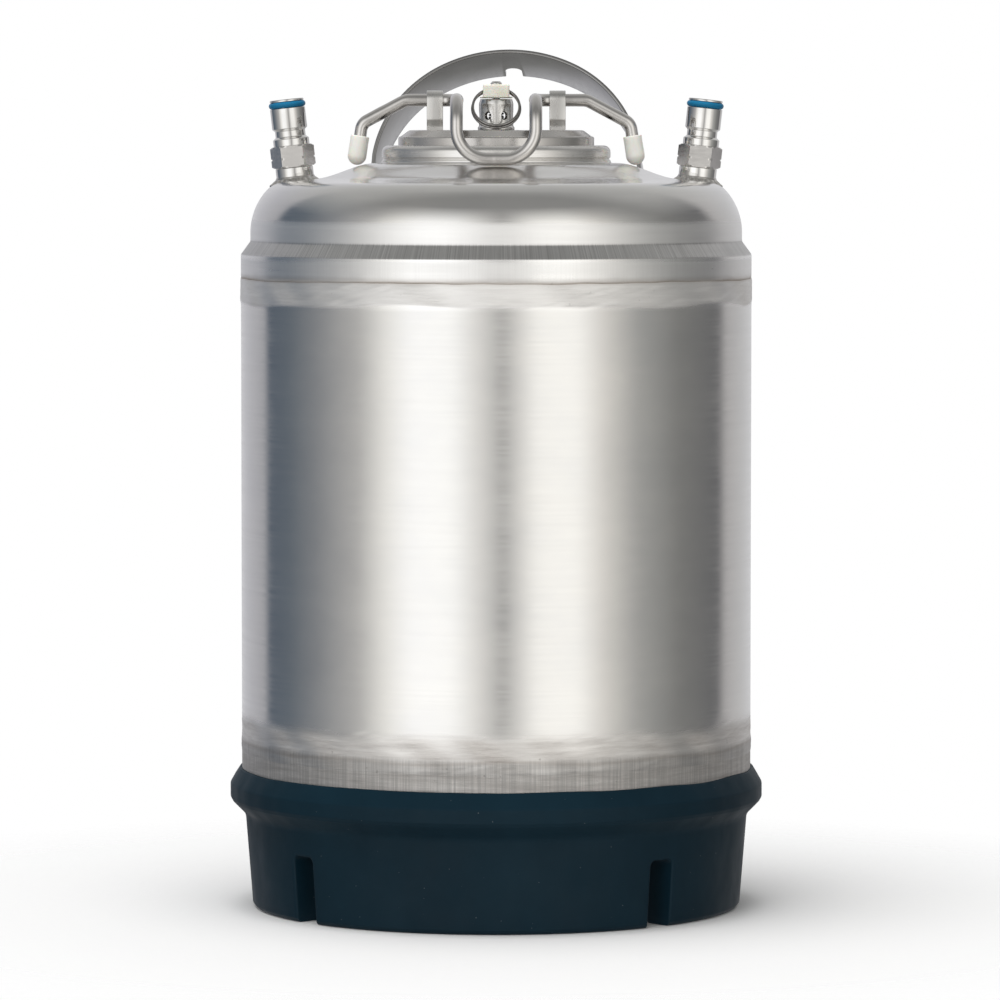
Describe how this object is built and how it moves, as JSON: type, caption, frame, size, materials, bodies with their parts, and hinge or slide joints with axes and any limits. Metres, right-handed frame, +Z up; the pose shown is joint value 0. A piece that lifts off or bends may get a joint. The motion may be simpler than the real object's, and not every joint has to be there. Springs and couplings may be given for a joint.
{
  "type": "beer keg",
  "caption": "Small ball lock keg: steel vessel, rubber base, oval hatch lid with wire bail, relief valve, gas and liquid posts, strap handle.",
  "frame": {"origin": "centre of the rubber base on the floor, on the shell's axis", "axes": "+Z up along the shell's axis, -Y towards the front, where the bail's U lies, +X to the right, towards the liquid post"},
  "size_m": [0.226, 0.226, 0.3633],
  "materials": {
    "satin_shell": "satin brushed round the shell, with rougher bands at the seams",
    "polished_head": "smooth satin, brushed down the neck",
    "base_rubber": "moulded, satin, blue-black",
    "strap_steel": "mill finish",
    "plain_steel": "turned",
    "post_steel": "polished barrel, satin hex",
    "blue_rubber": "moulded, satin",
    "seal_rubber": "moulded",
    "spring_steel": "drawn wire",
    "lid_steel": "satin, pressed",
    "clip_steel": "satin, bent strip",
    "valve_steel": "turned, bright",
    "knob_plastic": "moulded, ivory",
    "bail_steel": "drawn rod, satin",
    "cap_plastic": "moulded, ivory"
  },
  "bodies": {
    "vessel": {"body_shell": "satin_shell", "top_head": "polished_head", "bottom_head": "satin_shell", "rubber_base": "base_rubber", "strap_handle": "strap_steel", "gas_port": "plain_steel", "liquid_port": "plain_steel", "gas_post": "post_steel", "liquid_post": "post_steel", "gas_post_o_ring": "blue_rubber", "liquid_post_o_ring": "blue_rubber", "gas_dip_tube": "plain_steel", "liquid_dip_tube": "plain_steel", "gas_dip_tube_o_ring": "seal_rubber", "liquid_dip_tube_o_ring": "seal_rubber", "gas_poppet_spring": "spring_steel", "liquid_poppet_spring": "spring_steel"},
    "lid": {"lid_plate": "lid_steel", "lid_gasket": "seal_rubber", "left_bail_clip": "clip_steel", "right_bail_clip": "clip_steel", "relief_valve_body": "valve_steel", "relief_spring": "spring_steel"},
    "bail": {"bail_handle": "bail_steel", "left_foot_cap": "cap_plastic", "right_foot_cap": "cap_plastic"},
    "relief_stem": {"relief_stem": "valve_steel", "relief_knob": "knob_plastic", "relief_seal": "seal_rubber"},
    "pull_ring": {"pull_ring": "valve_steel"},
    "gas_poppet": {"gas_poppet": "post_steel", "gas_poppet_seal": "seal_rubber"},
    "liquid_poppet": {"liquid_poppet": "post_steel", "liquid_poppet_seal": "seal_rubber"}
  },
  "joints": [
    {"name": "lid_drop", "type": "slide", "parent": "vessel", "child": "lid", "axis": [0, 0, 1], "range_m": [-0.0061, 0]},
    {"name": "bail_swing", "type": "hinge", "parent": "lid", "child": "bail", "pos_m": [0, 0, 0.341], "axis": [1, 0, 0], "range_deg": [-100, 0]},
    {"name": "relief_pull", "type": "slide", "parent": "lid", "child": "relief_stem", "axis": [0, 0, 1], "range_m": [0, 0.0025], "stiffness_N_per_m": 2500, "springref_m": -0.002, "deforming": ["relief_spring"]},
    {"name": "ring_swing", "type": "hinge", "parent": "relief_stem", "child": "pull_ring", "pos_m": [0, -0.0052, 0.345], "axis": [1, 0, 0], "range_deg": [-120, 0]},
    {"name": "gas_poppet_press", "type": "slide", "parent": "vessel", "child": "gas_poppet", "axis": [0.1097, 0, -0.994], "range_m": [0, 0.0025], "stiffness_N_per_m": 2500, "springref_m": -0.002, "deforming": ["gas_poppet_spring"]},
    {"name": "liquid_poppet_press", "type": "slide", "parent": "vessel", "child": "liquid_poppet", "axis": [-0.1097, 0, -0.994], "range_m": [0, 0.0025], "stiffness_N_per_m": 2500, "springref_m": -0.002, "deforming": ["liquid_poppet_spring"]}
  ],
  "couplings": [
    {"joint": "lid_drop", "follows": "bail_swing", "m_per_rad": 0.00344}
  ]
}
